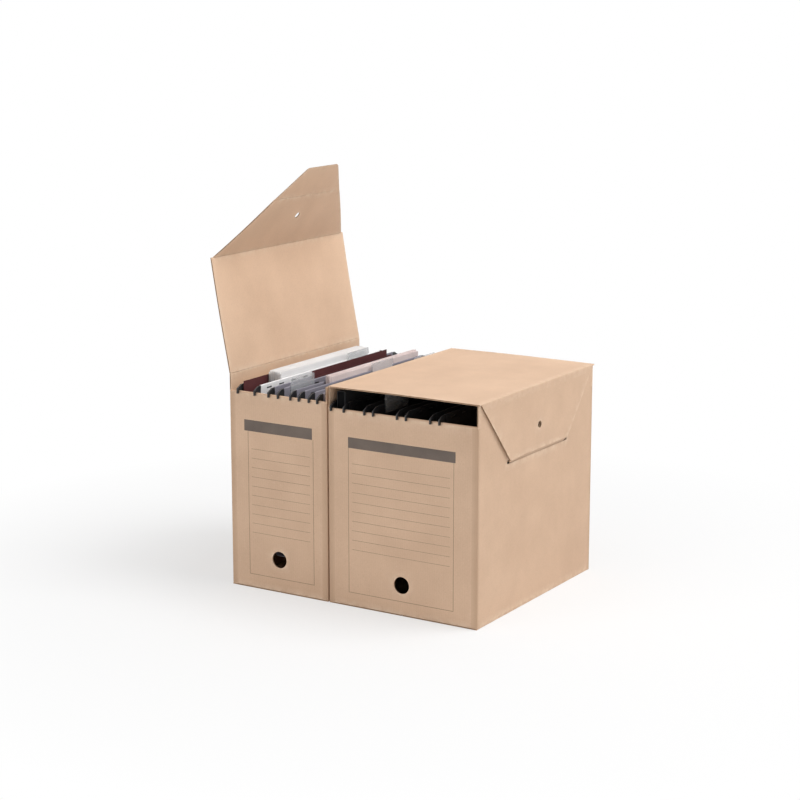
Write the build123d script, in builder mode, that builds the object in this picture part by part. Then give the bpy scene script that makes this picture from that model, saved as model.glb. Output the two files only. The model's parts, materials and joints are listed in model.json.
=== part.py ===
from build123d import *
import math
import os

os.makedirs("parts", exist_ok=True)

# Two boxes of corrugated board for hanging files stand side by side, fronts along -Y.
# The narrow one has its lid open, the wide one has its lid shut and its tongue tucked in.
# The origin is the middle of their footprint, on the floor.

# Boxes
board = 2.0
box_depth = 333.0
box_height = 308.0
narrow_width = 164.0
wide_width = 236.0
box_gap = 2.4
fold_round = 1.2

# Front and rear panels, lower than the side walls by the window
narrow_window_height = 23.0
wide_window_height = 30.0
finger_hole_radius = 12.0
narrow_finger_hole_height = 48.0
wide_finger_hole_height = 43.5
hem_depth = 42.0
hem_inset = 0.6

# Base flaps and the glued corner
base_seam = 1.0
inner_flap_reach = 80.0
inner_flap_inset = 0.8
glue_width = 32.0
glue_inset = 6.0

# Lid, its flap and its tongue
crease_gap = 0.3
lid_rest_gap = 0.2
flap_gap = 0.4
flap_reach = 143.0
flap_base_inset = 4.0
flap_tip_length = 75.0
lock_hole_radius = 5.0
lock_hole_reach = 56.0
tuck_drop = 95.0
tongue_board = 1.4
tongue_corner = 9.0
slot_clearance = 0.6
slot_end_clearance = 3.0
narrow_lid_opening = 100.5
narrow_flap_bend = 44.0
square_bend = 90.0
# Degrees that the tucked flap straightens for each degree that its lid opens
flap_relax_share = 0.43

# Hanging files: steel rails, card pockets, index tabs
rail_thickness = 1.2
rail_rise = 8.0
rail_drop = 4.0
seat_gap = 0.25
hook_gap = 0.8
hook_width = 3.6
hook_drop = 4.0
hook_rise = 3.0
hook_round = 1.2
card = 0.6
card_gap = 0.15
pocket_end_gap = 7.5
pocket_floor = 50.0
pocket_hem_tail = 7.0
pocket_hem_round = 0.8
pocket_fold_round = 4.0
tab_thickness = 1.6
tab_length = 58.0
tab_round = 2.5
tab_gap = 0.1
lid_headroom = 1.5
content_gap = 0.3
sheet_round = 1.0

# Where the files hang across each box, and where each tab sits along its pocket.
# The wide box's first file hangs close to its glue flap, the others by their shares.
narrow_file_place_shares = (0.183, 0.465, 0.685, 0.872)
wide_first_file_gap = 0.67
wide_file_place_shares = (0.285, 0.505, 0.725)
tab_place_shares = (0.3, -0.36, 0.14, 0.36)

# What stands in the files, and the room that an empty file keeps for it
content_play = 2.15
empty_room = 7.0
white_stack_thickness = 22.0
white_stack_setback = 66.0
white_stack_rear_gap = 33.0
white_stack_headroom = 3.0
folder_thickness = 9.0
folder_setback = 100.0
folder_rear_gap = 33.0
folder_headroom = 4.0
pale_stack_thickness = 7.0
pale_stack_setback = 80.0
pale_stack_rear_gap = 13.0
pale_stack_headroom = 3.0
cover_thickness = 0.8
cover_gap = 0.3
cover_setback = 8.0
cover_headroom = 8.5
wallet_thickness = 14.0
wallet_setback = 7.0
wallet_rear_gap = 20.0
wallet_headroom = 5.0

narrow_left = -(narrow_width + box_gap + wide_width) / 2
wide_left = narrow_left + narrow_width + box_gap
front = -box_depth / 2
rear = box_depth / 2
narrow_panel_top = box_height - narrow_window_height
wide_panel_top = box_height - wide_window_height
pocket_length = box_depth - 2 * (2 * board + pocket_end_gap)


def keep(piece, name):
    piece.part.label = name
    export_step(piece.part, f"parts/{name}.step")


def side_plane(x, y, z, angle):
    # Looks along +Y: its own x runs at the angle from +X towards +Z, extrusions come to the front
    along = (math.cos(math.radians(angle)), 0, math.sin(math.radians(angle)))
    return Plane(origin=(x, y, z), x_dir=along, z_dir=(0, -1, 0))


def face_plane(x, z, angle):
    # Lies in a board that runs at the angle: its own x goes along the board, its y along +Y
    turn = math.radians(angle)
    return Plane(
        origin=(x, 0, z),
        x_dir=(math.cos(turn), 0, math.sin(turn)),
        z_dir=(-math.sin(turn), 0, math.cos(turn)),
    )


def crease_profile(start, axis, thickness):
    # Section of a board that starts square and ends in a half round about a crease axis
    half = thickness / 2
    with BuildLine() as section:
        Polyline((axis, -half), (start, -half), (start, half), (axis, half))
        ThreePointArc((axis, half), (axis + half, 0), (axis, -half))
    make_face(section.edges())


# Walls


def front_or_rear_panel(name, left, width, panel_top, outer_face, inward, hole_height=None):
    # Stands between the side walls, its top edge under the round of the turned-in hem
    plane = Plane(origin=(left + width / 2, outer_face, 0), x_dir=(inward, 0, 0), z_dir=(0, -inward, 0))
    bottom = board
    top = panel_top - board
    with BuildPart() as panel:
        with BuildSketch(plane):
            with Locations((0, (bottom + top) / 2)):
                Rectangle(width - 2 * board, top - bottom)
            if hole_height:
                with Locations((0, hole_height)):
                    Circle(finger_hole_radius, mode=Mode.SUBTRACT)
        extrude(amount=-board)
    keep(panel, name)


def turned_hem(name, left, width, panel_top, outer_face, inward):
    # The board folds over the panel's top edge and runs down inside it
    length = width - 2 * board - 2 * hem_inset
    plane = Plane(
        origin=(left + (width - length) / 2, outer_face, panel_top - board),
        x_dir=(0, inward, 0),
        z_dir=(inward, 0, 0),
    )
    if inward < 0:
        plane = plane.offset(-length)
    with BuildPart() as hem:
        with BuildSketch(plane):
            with BuildLine():
                Line((0, 0), (board, 0))
                Line((board, 0), (board, board - hem_depth))
                Line((board, board - hem_depth), (2 * board, board - hem_depth))
                Line((2 * board, board - hem_depth), (2 * board, 0))
                ThreePointArc((2 * board, 0), (board, board), (0, 0))
            make_face()
        extrude(amount=length)
    keep(hem, name)


def hinge_wall(name, left):
    # Its top edge is the rolled crease that the lid turns on
    middle = left + board / 2
    with BuildPart() as wall:
        with BuildSketch(Plane.XY):
            with Locations((middle, 0)):
                plan = Rectangle(board, box_depth)
            fillet(plan.vertices().group_by(Axis.X)[0], fold_round)
        extrude(amount=box_height)
        with BuildSketch(side_plane(middle, rear, 0, square_bend)):
            crease_profile(board, box_height - board / 2, board)
        extrude(amount=box_depth, mode=Mode.INTERSECT)
    keep(wall, name)


def latch_wall(name, right, shape):
    # Carries the slanted slot that takes the tongue, and the hole behind the flap's hole
    top = box_height - board - lid_rest_gap
    plane = Plane(origin=(right, 0, 0), x_dir=(0, 1, 0), z_dir=(1, 0, 0))
    slot_middle = (right - board / 2, shape["slot_length"] / 2, box_height - tuck_drop)
    with BuildPart() as wall:
        with BuildSketch(plane):
            with Locations((0, (board + top) / 2)):
                Rectangle(box_depth, top - board)
            with Locations((0, box_height - board / 2 - lock_hole_reach)):
                Circle(lock_hole_radius, mode=Mode.SUBTRACT)
        extrude(amount=-board)
        uprights = wall.edges().filter_by(Axis.Z).group_by(Axis.X)[-1]
        outer = uprights.sort_by(Axis.Y)
        fillet([outer[0], outer[-1]], fold_round)
        with BuildSketch(side_plane(*slot_middle, square_bend - shape["lean"])):
            Rectangle(shape["slot_run"], tongue_board + 2 * slot_clearance)
        extrude(amount=shape["slot_length"], mode=Mode.SUBTRACT)
    keep(wall, name)


# Base and glued corner


def outer_base_flap(name, x_from, x_to, fold_side):
    with BuildPart() as flap:
        with BuildSketch(Plane.XY):
            with Locations(((x_from + x_to) / 2, 0)):
                Rectangle(x_to - x_from, box_depth)
        extrude(amount=board)
        lowest = flap.edges().filter_by(Axis.Y).group_by(Axis.Z)[0]
        fillet(lowest.sort_by(Axis.X)[fold_side], fold_round)
    keep(flap, name)


def inner_base_flap(name, left, width, outer_face, inward):
    near = outer_face + inward * (board + inner_flap_inset)
    with BuildPart() as flap:
        with BuildSketch(Plane.XY.offset(board)):
            with Locations((left + width / 2, near + inward * inner_flap_reach / 2)):
                Rectangle(width - 2 * (board + inner_flap_inset), inner_flap_reach)
        extrude(amount=board)
    keep(flap, name)


def glue_flap(name, left, panel_top):
    # Continues the rear panel round the corner, glued flat on the hinge wall's inner face
    bottom = 2 * board + glue_inset
    top = panel_top - hem_depth - glue_inset
    plane = Plane(origin=(left + board, rear - board, bottom), x_dir=(0, 1, 0), z_dir=(1, 0, 0))
    with BuildPart() as flap:
        with BuildSketch(plane):
            Polygon(
                (0, 0),
                (0, top - bottom),
                (-glue_width, top - bottom - glue_width / 2),
                (-glue_width, glue_width / 2),
                align=None,
            )
        extrude(amount=board)
    keep(flap, name)


# Lid, flap and tongue


def half_width(reach):
    # Half the flap's length along Y, at a distance from its fold
    base = box_depth / 2 - flap_base_inset
    return base - (base - flap_tip_length / 2) * reach / flap_reach


def tuck_path(width, lid_angle):
    # Where the middle of the slot lies on the flap when the lid has opened by an angle in radians.
    # The first number runs along the flap from its fold, the second outward from its middle plane.
    span = width + flap_gap
    flap_angle = (1 + flap_relax_share) * lid_angle
    across = width - board - span * math.cos(lid_angle)
    down = tuck_drop - board / 2 + span * math.sin(lid_angle)
    along = across * math.sin(flap_angle) + down * math.cos(flap_angle)
    outward = across * math.cos(flap_angle) - down * math.sin(flap_angle)
    return along, outward


def tuck_shape(width):
    # The tongue's own path out of the slot gives its bow, and with it the slot's slant
    swing = (1 + flap_relax_share) * (tuck_drop - board / 2)
    rise = width + flap_gap - (1 + flap_relax_share) * (board + flap_gap)
    root_angle = -(board + flap_gap) / swing
    lean = math.atan2(swing, rise)
    root = tuck_path(width, root_angle)[0]
    tip_angle = root_angle + (flap_reach - root) / math.hypot(swing, rise)
    slot_height = tongue_board + 2 * slot_clearance
    return {
        "root": root,
        "angles": (root_angle, (root_angle + tip_angle) / 2, tip_angle),
        "lean": math.degrees(lean),
        "slot_run": (board + slot_height) / math.sin(lean),
        "slot_length": 2 * (half_width(root) + slot_end_clearance),
    }


def lid_panel(name, hinge, width, opening):
    with BuildPart() as lid:
        with BuildSketch(side_plane(hinge[0], rear, hinge[1], opening)):
            crease_profile(board / 2 + crease_gap, width + flap_gap, board)
        extrude(amount=box_depth)
    keep(lid, name)


def lid_flap(name, fold, angle, root):
    start = board / 2 + crease_gap
    end = root + board
    with BuildPart() as flap:
        with BuildSketch(side_plane(fold[0], rear, fold[1], angle)):
            crease_profile(start, root, board)
        extrude(amount=box_depth)
        with BuildSketch(face_plane(fold[0], fold[1], angle)):
            Polygon(
                (0, -half_width(0)),
                (end, -half_width(end)),
                (end, half_width(end)),
                (0, half_width(0)),
                align=None,
            )
            with Locations((lock_hole_reach, 0)):
                Circle(lock_hole_radius, mode=Mode.SUBTRACT)
        extrude(amount=board, both=True, mode=Mode.INTERSECT)
    keep(flap, name)


def tongue_outline(start, end, root_half_width):
    outline = Polygon(
        (start, -root_half_width),
        (end, -flap_tip_length / 2),
        (end, flap_tip_length / 2),
        (start, root_half_width),
        align=None,
    )
    fillet(outline.vertices().group_by(Axis.X)[-1], tongue_corner)


def flat_tongue(name, fold, angle, root):
    start = root + board / 2 + crease_gap
    with BuildPart() as tongue:
        with BuildSketch(face_plane(fold[0], fold[1], angle)):
            tongue_outline(start, flap_reach, half_width(start))
        extrude(amount=tongue_board / 2, both=True)
    keep(tongue, name)


def tucked_tongue(name, fold, angle, width, shape):
    # Bowed along its own way out of the slot, so that the lid draws it straight through
    points = [tuck_path(width, turn) for turn in shape["angles"]]
    start = shape["root"] + board / 2 + crease_gap
    end = points[-1][0]
    with BuildPart() as tongue:
        with BuildSketch(side_plane(fold[0], rear, fold[1], angle)):
            with BuildLine() as bow:
                ThreePointArc(*points)
            trace(bow.line, line_width=tongue_board)
        extrude(amount=box_depth)
        with BuildSketch(face_plane(fold[0], fold[1], angle)):
            tongue_outline(start, end, half_width(start))
        extrude(amount=flap_reach, both=True, mode=Mode.INTERSECT)
    keep(tongue, name)


def file_box(prefix, left, width, panel_top, hole_height, opening, bend, tucked):
    right = left + width
    middle = left + width / 2
    shape = tuck_shape(width)
    front_or_rear_panel(f"{prefix}_front_panel", left, width, panel_top, front, 1, hole_height)
    front_or_rear_panel(f"{prefix}_rear_panel", left, width, panel_top, rear, -1)
    turned_hem(f"{prefix}_front_hem", left, width, panel_top, front, 1)
    turned_hem(f"{prefix}_rear_hem", left, width, panel_top, rear, -1)
    hinge_wall(f"{prefix}_hinge_wall", left)
    latch_wall(f"{prefix}_latch_wall", right, shape)
    outer_base_flap(f"{prefix}_base_left_flap", left, middle - base_seam / 2, 0)
    outer_base_flap(f"{prefix}_base_right_flap", middle + base_seam / 2, right, -1)
    inner_base_flap(f"{prefix}_base_front_flap", left, width, front, 1)
    inner_base_flap(f"{prefix}_base_rear_flap", left, width, rear, -1)
    glue_flap(f"{prefix}_glue_flap", left, panel_top)
    hinge = (left + board / 2, box_height - board / 2)
    span = width + flap_gap
    turn = math.radians(opening)
    fold = (hinge[0] + span * math.cos(turn), hinge[1] + span * math.sin(turn))
    lid_panel(f"{prefix}_lid", hinge, width, opening)
    lid_flap(f"{prefix}_lid_flap", fold, opening - bend, shape["root"])
    if tucked:
        tucked_tongue(f"{prefix}_lid_tongue", fold, opening - bend, width, shape)
    else:
        flat_tongue(f"{prefix}_lid_tongue", fold, opening - bend, shape["root"])


# Hanging files


def rail_spread(room):
    # How far each rail stands from the middle of its file
    return room / 2 + content_play + card + card_gap + rail_thickness / 2


def pocket_half(room):
    # From the middle of a file to the outer face of its pocket
    return rail_spread(room) + rail_thickness / 2 + card_gap + card


def file_rails(name, x, spread, rail_seat):
    # Steel strips whose notched ends sit on the hems of the front and rear panels
    tip = rear + hook_gap + hook_width
    notch_out = rear + hook_gap
    notch_in = rear - 2 * board - hook_gap
    top = rail_seat + rail_rise
    with BuildPart() as rails:
        for side in (-1, 1):
            with BuildSketch(Plane.YZ.offset(x + side * spread - rail_thickness / 2)):
                strip = Polygon(
                    (-tip, rail_seat - hook_drop),
                    (-tip, rail_seat + hook_rise),
                    (-notch_in, top),
                    (notch_in, top),
                    (tip, rail_seat + hook_rise),
                    (tip, rail_seat - hook_drop),
                    (notch_out, rail_seat - hook_drop),
                    (notch_out, rail_seat),
                    (notch_in, rail_seat),
                    (notch_in, rail_seat - rail_drop),
                    (-notch_in, rail_seat - rail_drop),
                    (-notch_in, rail_seat),
                    (-notch_out, rail_seat),
                    (-notch_out, rail_seat - hook_drop),
                    align=None,
                )
                by_length = strip.vertices().group_by(Axis.X)
                fillet(by_length[0] + by_length[-1], hook_round)
        extrude(amount=rail_thickness)
    keep(rails, name)


def file_pocket(name, x, spread, rail_seat):
    # One folded card: its two top edges are hemmed round the rails, its fold hangs below
    aside = rail_thickness / 2 + card_gap + card / 2
    top = rail_seat + rail_rise + card_gap + card / 2
    tail = rail_seat - rail_drop - pocket_hem_tail
    left = x - spread
    right = x + spread
    with BuildPart() as pocket:
        with BuildSketch(side_plane(0, pocket_length / 2, 0, 0)):
            with BuildLine() as card_line:
                FilletPolyline(
                    (left + aside, tail),
                    (left + aside, top),
                    (left - aside, top),
                    (left - aside, pocket_floor),
                    (right + aside, pocket_floor),
                    (right + aside, top),
                    (right - aside, top),
                    (right - aside, tail),
                    radius=[pocket_hem_round] * 2 + [pocket_fold_round] * 2 + [pocket_hem_round] * 2,
                )
            trace(card_line.line, line_width=card)
        extrude(amount=pocket_length)
    keep(pocket, name)


def file_contents(name, x, thickness, setback, rear_gap, headroom):
    # A stack of sheets, a folder or a cover that stands on the pocket's fold
    bottom = pocket_floor + card / 2 + content_gap
    top = box_height - board - headroom
    near = front + setback
    far = rear - rear_gap
    with BuildPart() as stack:
        with BuildSketch(Plane.YZ.offset(x - thickness / 2)):
            with Locations(((near + far) / 2, (bottom + top) / 2)):
                RectangleRounded(far - near, top - bottom, sheet_round)
        extrude(amount=thickness)
    keep(stack, name)


def file_tab(name, x, spread, rail_seat, y):
    # Clear index tab, clipped to the outside of the right-hand hem and standing above it
    face = x + spread + rail_thickness / 2 + card_gap + card + tab_gap
    bottom = rail_seat - rail_drop
    top = box_height - board - lid_headroom
    with BuildPart() as tab:
        with BuildSketch(Plane.YZ.offset(face)):
            with Locations((y, (bottom + top) / 2)):
                RectangleRounded(tab_length, top - bottom, tab_round)
        extrude(amount=tab_thickness)
    keep(tab, name)


def hanging_file(name, x, spread, panel_top, tab_y):
    rail_seat = panel_top + seat_gap
    file_rails(f"{name}_rails", x, spread, rail_seat)
    file_pocket(f"{name}_pocket", x, spread, rail_seat)
    file_tab(f"{name}_tab", x, spread, rail_seat, tab_y)


file_box(
    "narrow",
    narrow_left,
    narrow_width,
    narrow_panel_top,
    narrow_finger_hole_height,
    narrow_lid_opening,
    narrow_flap_bend,
    False,
)
file_box("wide", wide_left, wide_width, wide_panel_top, wide_finger_hole_height, 0, square_bend, True)

tab_places = [share * pocket_length for share in tab_place_shares]
narrow_places = [narrow_left + share * narrow_width for share in narrow_file_place_shares]
narrow_rooms = [white_stack_thickness, folder_thickness, pale_stack_thickness, empty_room]
for i, (x, room, tab_y) in enumerate(zip(narrow_places, narrow_rooms, tab_places), start=1):
    hanging_file(f"narrow_file_{i}", x, rail_spread(room), narrow_panel_top, tab_y)
wide_rooms = [wallet_thickness, empty_room, empty_room, empty_room]
wide_places = [wide_left + 2 * board + wide_first_file_gap + pocket_half(wallet_thickness)]
wide_places += [wide_left + share * wide_width for share in wide_file_place_shares]
for i, (x, room, tab_y) in enumerate(zip(wide_places, wide_rooms, tab_places), start=1):
    hanging_file(f"wide_file_{i}", x, rail_spread(room), wide_panel_top, tab_y)

file_contents(
    "narrow_file_1_papers",
    narrow_places[0],
    white_stack_thickness,
    white_stack_setback,
    white_stack_rear_gap,
    white_stack_headroom,
)
file_contents(
    "narrow_file_1_cover",
    narrow_places[0] - white_stack_thickness / 2 - cover_gap - cover_thickness / 2,
    cover_thickness,
    cover_setback,
    white_stack_rear_gap,
    cover_headroom,
)
file_contents(
    "narrow_file_2_folder",
    narrow_places[1],
    folder_thickness,
    folder_setback,
    folder_rear_gap,
    folder_headroom,
)
file_contents(
    "narrow_file_3_papers",
    narrow_places[2],
    pale_stack_thickness,
    pale_stack_setback,
    pale_stack_rear_gap,
    pale_stack_headroom,
)
file_contents(
    "wide_file_1_wallet",
    wide_places[0],
    wallet_thickness,
    wallet_setback,
    wallet_rear_gap,
    wallet_headroom,
)
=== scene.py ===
import json
import math
import random

import bmesh
import bpy
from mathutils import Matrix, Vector, kdtree
from mathutils.geometry import delaunay_2d_cdt

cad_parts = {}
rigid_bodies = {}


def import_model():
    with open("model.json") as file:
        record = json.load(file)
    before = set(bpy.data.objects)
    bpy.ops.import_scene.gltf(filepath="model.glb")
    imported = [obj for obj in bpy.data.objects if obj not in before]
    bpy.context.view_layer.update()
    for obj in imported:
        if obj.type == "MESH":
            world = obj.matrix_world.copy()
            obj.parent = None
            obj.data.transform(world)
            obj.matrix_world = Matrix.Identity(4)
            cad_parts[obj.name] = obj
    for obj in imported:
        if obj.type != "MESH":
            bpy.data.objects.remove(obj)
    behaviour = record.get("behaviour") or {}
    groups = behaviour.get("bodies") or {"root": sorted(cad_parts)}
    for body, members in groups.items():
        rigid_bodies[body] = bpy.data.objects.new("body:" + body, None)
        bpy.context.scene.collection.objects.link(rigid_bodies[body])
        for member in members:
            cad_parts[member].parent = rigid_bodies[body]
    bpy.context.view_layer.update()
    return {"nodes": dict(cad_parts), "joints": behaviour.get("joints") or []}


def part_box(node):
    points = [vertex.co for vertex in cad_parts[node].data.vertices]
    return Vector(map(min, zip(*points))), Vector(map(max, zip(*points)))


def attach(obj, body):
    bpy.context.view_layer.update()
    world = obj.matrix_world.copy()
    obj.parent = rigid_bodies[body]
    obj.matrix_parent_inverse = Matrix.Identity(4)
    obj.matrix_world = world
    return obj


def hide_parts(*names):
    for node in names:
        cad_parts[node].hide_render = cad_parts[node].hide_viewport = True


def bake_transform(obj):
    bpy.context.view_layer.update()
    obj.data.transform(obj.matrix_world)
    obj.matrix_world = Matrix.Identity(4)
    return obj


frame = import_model()
mm = 0.001
joints = {joint["name"]: joint for joint in frame["joints"]}
xAxis, yAxis, zAxis = Vector((1, 0, 0)), Vector((0, 1, 0)), Vector((0, 0, 1))
boxes = ("narrow", "wide")
print("frame:", len(frame["nodes"]), "nodes")


# Finishes

def addNode(tree, kind, settings=None, sockets=None):
    node = tree.nodes.new(kind)
    for key, value in (settings or {}).items():
        setattr(node, key, value)
    for key, value in (sockets or {}).items():
        if isinstance(value, bpy.types.NodeSocket):
            tree.links.new(value, node.inputs[key])
        else:
            node.inputs[key].default_value = value
    return node


def startFinish(name, look):
    finish = bpy.data.materials.new(name)
    finish.use_nodes = True
    tree = finish.node_tree
    shader = tree.nodes["Principled BSDF"]
    shader.inputs["Roughness"].default_value = look["rough"]
    shader.inputs["Specular IOR Level"].default_value = look["specular"]
    place = addNode(tree, "ShaderNodeTexCoord").outputs["Object"]
    return finish, tree, shader, place


def noiseOf(tree, place, size, detail=4, stretch=(1, 1, 1), roughness=0.55):
    # size is the width of one blotch in metres
    mapped = addNode(tree, "ShaderNodeMapping", {}, {"Vector": place, "Scale": stretch})
    texture = addNode(tree, "ShaderNodeTexNoise", {}, {
        "Vector": mapped.outputs[0], "Scale": 1 / size, "Detail": detail, "Roughness": roughness})
    return texture.outputs["Fac"]


def rangeOf(tree, value, low, high, start=0.0, end=1.0):
    node = addNode(tree, "ShaderNodeMapRange", {}, {
        "Value": value, "From Min": low, "From Max": high, "To Min": start, "To Max": end})
    return node.outputs[0]


def mathOf(tree, operation, first, second):
    return addNode(tree, "ShaderNodeMath", {"operation": operation}, {0: first, 1: second}).outputs[0]


def sumOf(tree, *parts):
    # adds up the sources, each times its share
    total = None
    for source, share in parts:
        scaled = mathOf(tree, "MULTIPLY", source, share)
        total = mathOf(tree, "ADD", total, scaled) if total else scaled
    return total


def mixOf(tree, share, first, second):
    node = addNode(tree, "ShaderNodeMix", {"data_type": "RGBA"}, {0: share})
    for index, colour in ((6, first), (7, second)):
        if isinstance(colour, bpy.types.NodeSocket):
            tree.links.new(colour, node.inputs[index])
        else:
            node.inputs[index].default_value = (*colour, 1)
    return node.outputs[2]


def addBump(tree, shader, height, look):
    bump = addNode(tree, "ShaderNodeBump", {}, {
        "Height": height, "Distance": look["bumpDepth"], "Strength": look["bumpStrength"]})
    tree.links.new(bump.outputs[0], shader.inputs["Normal"])


kraftLook = {
    "pale": (0.697, 0.482, 0.331),
    "deep": (0.607, 0.409, 0.275),
    "fibre": (0.345, 0.205, 0.120),
    "fleck": (0.800, 0.610, 0.450),
    "worn": (0.790, 0.610, 0.455),
    # painted shade for the upright corner folds
    "pressed": (0.470, 0.300, 0.190),
    "rough": 0.66, "specular": 0.5, "roughRange": (0.3, 0.7, 0.58, 0.76),
    "fluteStep": 3.6 * mm, "fluteTone": 0.02, "fluteRise": 0.16,
    "cloudSize": 70 * mm, "cloudShare": 0.55,
    "grainSize": 2.2 * mm, "grainShare": 0.45, "toneRange": (0.36, 0.64),
    "fibreSize": 0.8 * mm, "fibreStretch": (1, 1, 0.25), "fibreRange": (0.64, 0.80, 0, 0.45),
    "fleckSize": 1.1 * mm, "fleckStretch": (0.3, 0.3, 1), "fleckRange": (0.66, 0.80, 0, 0.5),
    "scuffSize": 9 * mm, "scuffRange": (0.42, 0.62, 0.1, 0.7), "pressedRange": (0, -1, 0, 0.6),
    "bumpDepth": 0.12 * mm, "bumpStrength": 0.55,
}
innerLook = {
    **kraftLook, "pale": (0.770, 0.538, 0.372), "deep": (0.674, 0.459, 0.310), "fibre": (0.400, 0.245, 0.145),
}


def kraftFinish(name, look):
    finish, tree, shader, place = startFinish(name, look)
    board = addNode(tree, "ShaderNodeAttribute", {"attribute_name": "boardPlace"}).outputs["Vector"]
    # edge wear above zero, painted fold shade below zero
    wear = addNode(tree, "ShaderNodeAttribute", {"attribute_name": "wearShare"}).outputs["Fac"]
    acrossFlutes = addNode(tree, "ShaderNodeSeparateXYZ", {}, {0: board}).outputs[0]
    phase = mathOf(tree, "MULTIPLY", acrossFlutes, 2 * math.pi / look["fluteStep"])
    flute = mathOf(tree, "SINE", phase, 0.0)
    cloud = noiseOf(tree, place, look["cloudSize"], detail=3)
    grain = noiseOf(tree, place, look["grainSize"], detail=6, roughness=0.7)
    fibre = noiseOf(tree, place, look["fibreSize"], detail=2, stretch=look["fibreStretch"])
    fleck = noiseOf(tree, place, look["fleckSize"], detail=2, stretch=look["fleckStretch"])
    scuff = noiseOf(tree, place, look["scuffSize"])
    # the flutes tint the tone with faint painted light and shade stripes, besides their bump
    tone = sumOf(tree, (cloud, look["cloudShare"]), (grain, look["grainShare"]), (flute, look["fluteTone"]))
    colour = mixOf(tree, rangeOf(tree, tone, *look["toneRange"]), look["deep"], look["pale"])
    for key, source in (("fibre", fibre), ("fleck", fleck)):
        colour = mixOf(tree, rangeOf(tree, source, *look[key + "Range"]), colour, look[key])
    rubbed = mathOf(tree, "MULTIPLY", wear, rangeOf(tree, scuff, *look["scuffRange"]))
    colour = mixOf(tree, rubbed, colour, look["worn"])
    # a wear below zero paints shade: a dark band of painted shade along an upright corner fold
    colour = mixOf(tree, rangeOf(tree, wear, *look["pressedRange"]), colour, look["pressed"])
    tree.links.new(colour, shader.inputs["Base Color"])
    tree.links.new(rangeOf(tree, grain, *look["roughRange"]), shader.inputs["Roughness"])
    height = mathOf(tree, "ADD", grain, mathOf(tree, "MULTIPLY", flute, look["fluteRise"]))
    addBump(tree, shader, height, look)
    return finish


grainLooks = {
    "core": {
        "deep": (0.36, 0.22, 0.13), "pale": (0.56, 0.37, 0.24), "rough": 0.9, "specular": 0.15, "metal": 0.0,
        "size": 0.9 * mm, "detail": 5, "stretch": (1, 1, 1), "roughness": 0.7,
        "bumpDepth": 0.1 * mm, "bumpStrength": 0.6},
    "steel": {
        "deep": (0.10, 0.10, 0.105), "pale": (0.20, 0.20, 0.21), "rough": 0.4, "specular": 0.5, "metal": 1.0,
        "size": 0.6 * mm, "detail": 3, "stretch": (1, 0.02, 1), "roughness": 0.55,
        "roughRange": (0.3, 0.7, 0.3, 0.52), "bumpDepth": 0.02 * mm, "bumpStrength": 0.4},
    "coat": {
        "deep": (0.010, 0.010, 0.011), "pale": (0.022, 0.022, 0.024), "rough": 0.42, "specular": 0.5,
        "metal": 0.0, "size": 1.6 * mm, "detail": 3, "stretch": (1, 1, 1), "roughness": 0.55,
        "roughRange": (0.3, 0.7, 0.36, 0.5), "bumpDepth": 0.03 * mm, "bumpStrength": 0.4},
    "toneRange": (0.35, 0.65),
}


def grainFinish(name, look):
    # one noise gives tone, sheen and bump: torn core, drawn steel, moulded plastic
    finish, tree, shader, place = startFinish(name, look)
    shader.inputs["Metallic"].default_value = look["metal"]
    grain = noiseOf(tree, place, *(look[key] for key in ("size", "detail", "stretch", "roughness")))
    colour = mixOf(tree, rangeOf(tree, grain, *grainLooks["toneRange"]), look["deep"], look["pale"])
    tree.links.new(colour, shader.inputs["Base Color"])
    if "roughRange" in look:
        tree.links.new(rangeOf(tree, grain, *look["roughRange"]), shader.inputs["Roughness"])
    addBump(tree, shader, grain, look)
    return finish


cardLooks = {
    "maroon": {"deep": (0.066, 0.016, 0.018), "pale": (0.115, 0.030, 0.032), "rough": 0.62},
    "grey": {"deep": (0.215, 0.205, 0.245), "pale": (0.285, 0.272, 0.315), "rough": 0.66},
    "black": {"deep": (0.010, 0.010, 0.011), "pale": (0.020, 0.020, 0.022), "rough": 0.6},
    "white": {"deep": (0.86, 0.85, 0.845), "pale": (0.94, 0.935, 0.93), "rough": 0.75},
    "pale": {"deep": (0.72, 0.60, 0.58), "pale": (0.86, 0.76, 0.74), "rough": 0.75},
    "ink": {"deep": (0.125, 0.100, 0.085), "pale": (0.190, 0.150, 0.125), "rough": 0.7},
    "faintInk": {"deep": (0.35, 0.240, 0.163), "pale": (0.42, 0.290, 0.200), "rough": 0.8},
}
cardGrain = {
    "specular": 0.3, "driftSize": 45 * mm, "driftShare": 0.5, "toneRange": (0.36, 0.64),
    "fibreSize": 0.9 * mm, "fibreStretch": (1, 0.4, 1), "fibreShare": 0.5,
    "roughFrom": (0.3, 0.7), "smoother": 0.06, "rougher": 0.1, "bumpDepth": 0.05 * mm, "bumpStrength": 0.5,
}


def cardFinish(name, card):
    # pressed card, paper and print share one build: fine fibre over a slow drift of tone
    look = {**cardGrain, **card}
    finish, tree, shader, place = startFinish(name, look)
    drift = noiseOf(tree, place, look["driftSize"], detail=3)
    fibre = noiseOf(tree, place, look["fibreSize"], detail=5, stretch=look["fibreStretch"], roughness=0.7)
    tone = sumOf(tree, (drift, look["driftShare"]), (fibre, look["fibreShare"]))
    colour = mixOf(tree, rangeOf(tree, tone, *look["toneRange"]), look["deep"], look["pale"])
    tree.links.new(colour, shader.inputs["Base Color"])
    sheen = (look["rough"] - look["smoother"], look["rough"] + look["rougher"])
    tree.links.new(rangeOf(tree, fibre, *look["roughFrom"], *sheen), shader.inputs["Roughness"])
    addBump(tree, shader, fibre, look)
    return finish


clearLook = {
    "tint": (0.80, 0.83, 0.85, 1), "alpha": 0.16, "rough": 0.16, "specular": 0.5,
    "rubSize": 6 * mm, "rubRange": (0.35, 0.7, 0.1, 0.3),
}


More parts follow.
